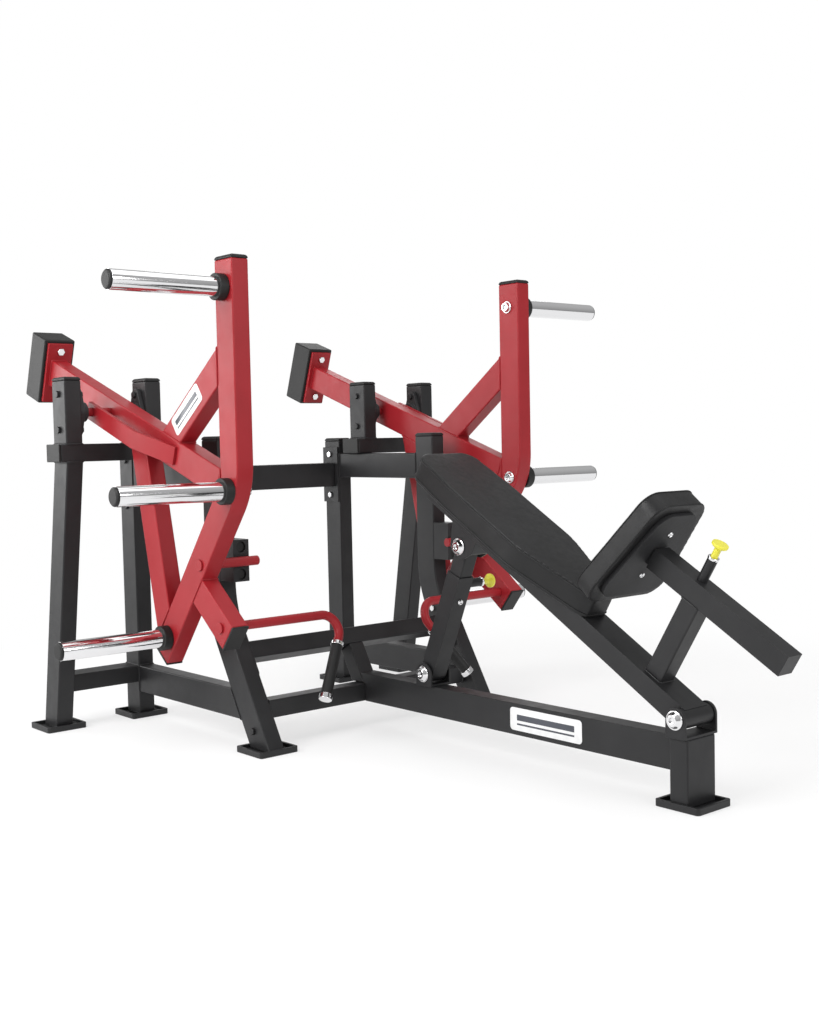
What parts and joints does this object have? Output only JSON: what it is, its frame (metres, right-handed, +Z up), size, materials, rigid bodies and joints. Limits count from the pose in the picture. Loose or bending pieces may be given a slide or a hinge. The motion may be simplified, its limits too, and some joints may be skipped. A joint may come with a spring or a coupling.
{
  "type": "t bar row",
  "caption": "Plate-loaded t bar row machine: black steel frame, inclined chest bench on an adjustable strut, and a pair of red levers with plate horns and handles.",
  "frame": {"origin": "on the floor under the middle of the bounding box", "axes": "+X across the machine towards the right lever, -Y towards the low end of the bench, +Z up"},
  "size_m": [1.7, 2.4222, 1.293],
  "materials": {
    "black_paint": "satin black powder coat",
    "red_paint": "satin red powder coat",
    "chrome": "polished",
    "rubber": "matt",
    "vinyl": "black upholstery vinyl",
    "board": "matt",
    "yellow_plastic": "gloss",
    "cast_iron": "dark painted"
  },
  "bodies": {
    "frame": {"base_beams": "black_paint", "bearings": "cast_iron", "black_bolts": "black_paint", "bright_bolts": "chrome", "centre_strut": "black_paint", "cross_beams": "black_paint", "flange_plates": "black_paint", "foot_plates": "black_paint", "frame_caps": "rubber", "front_legs": "black_paint", "front_post": "black_paint", "outer_posts": "black_paint", "rear_braces": "black_paint", "rear_posts": "black_paint", "saddle_brackets": "black_paint", "side_beams": "black_paint", "spine_beam": "black_paint", "stop_blocks": "black_paint", "top_beams": "black_paint", "uprights": "black_paint"},
    "lever_left": {"lever_left_arm": "red_paint", "lever_left_braces": "red_paint", "lever_left_bright_trim": "chrome", "lever_left_counterweight": "rubber", "lever_left_handle_bracket": "red_paint", "lever_left_handle_grip": "rubber", "lever_left_horns": "chrome", "lever_left_hub_shaft": "red_paint", "lever_left_main_tube": "red_paint", "lever_left_outrigger": "red_paint", "lever_left_round_bars": "red_paint", "lever_left_rubber_trim": "rubber", "lever_left_weight_plate": "red_paint"},
    "lever_right": {"lever_right_arm": "red_paint", "lever_right_braces": "red_paint", "lever_right_bright_trim": "chrome", "lever_right_counterweight": "rubber", "lever_right_handle_bracket": "red_paint", "lever_right_handle_grip": "rubber", "lever_right_horns": "chrome", "lever_right_hub_shaft": "red_paint", "lever_right_main_tube": "red_paint", "lever_right_outrigger": "red_paint", "lever_right_round_bars": "red_paint", "lever_right_rubber_trim": "rubber", "lever_right_weight_plate": "red_paint"},
    "bench": {"bench_rail": "black_paint", "long_pad": "vinyl", "seat_post": "black_paint", "seat_sleeve": "black_paint", "strut_bracket": "black_paint", "strut_top_bolt": "chrome"},
    "seat": {"seat_slider": "black_paint", "seat_board": "board", "seat_pad": "vinyl"},
    "seat_pin": {"seat_pin": "yellow_plastic"},
    "strut_outer": {"strut_outer": "black_paint", "strut_barrel_and_housing": "black_paint"},
    "strut_inner": {"strut_inner": "black_paint"},
    "strut_pin": {"strut_pin": "yellow_plastic"}
  },
  "joints": [
    {"name": "left_lever_swing", "type": "hinge", "parent": "frame", "child": "lever_left", "pos_m": [-0.502, 0.7013, 0.919], "axis": [-1, 0, 0], "range_deg": [0, 40]},
    {"name": "right_lever_swing", "type": "hinge", "parent": "frame", "child": "lever_right", "pos_m": [0.502, 0.7013, 0.919], "axis": [-1, 0, 0], "range_deg": [0, 40]},
    {"name": "bench_tilt", "type": "hinge", "parent": "frame", "child": "bench", "pos_m": [0, -0.9487, 0.2], "axis": [1, 0, 0], "range_deg": [-3, 6]},
    {"name": "strut_lean", "type": "hinge", "parent": "frame", "child": "strut_outer", "pos_m": [0, -0.0907, 0.19], "axis": [1, 0, 0], "range_deg": [-1, 2]},
    {"name": "strut_slide", "type": "slide", "parent": "strut_outer", "child": "strut_inner", "axis": [0, -0.3895, 0.921], "range_m": [-0.043, 0.085]},
    {"name": "seat_slide", "type": "slide", "parent": "bench", "child": "seat", "axis": [0, 0.8572, 0.515], "range_m": [0, 0.1]},
    {"name": "seat_pin_pull", "type": "slide", "parent": "bench", "child": "seat_pin", "axis": [0, -0.515, 0.8572], "range_m": [0, 0.012], "stiffness_N_per_m": 800},
    {"name": "strut_pin_pull", "type": "slide", "parent": "strut_outer", "child": "strut_pin", "axis": [1, 0, 0], "range_m": [0, 0.012], "stiffness_N_per_m": 800}
  ],
  "couplings": [
    {"joint": "strut_lean", "follows": "bench_tilt", "ratio": 0.14661},
    {"joint": "strut_slide", "follows": "bench_tilt", "m_per_rad": 0.78465}
  ]
}
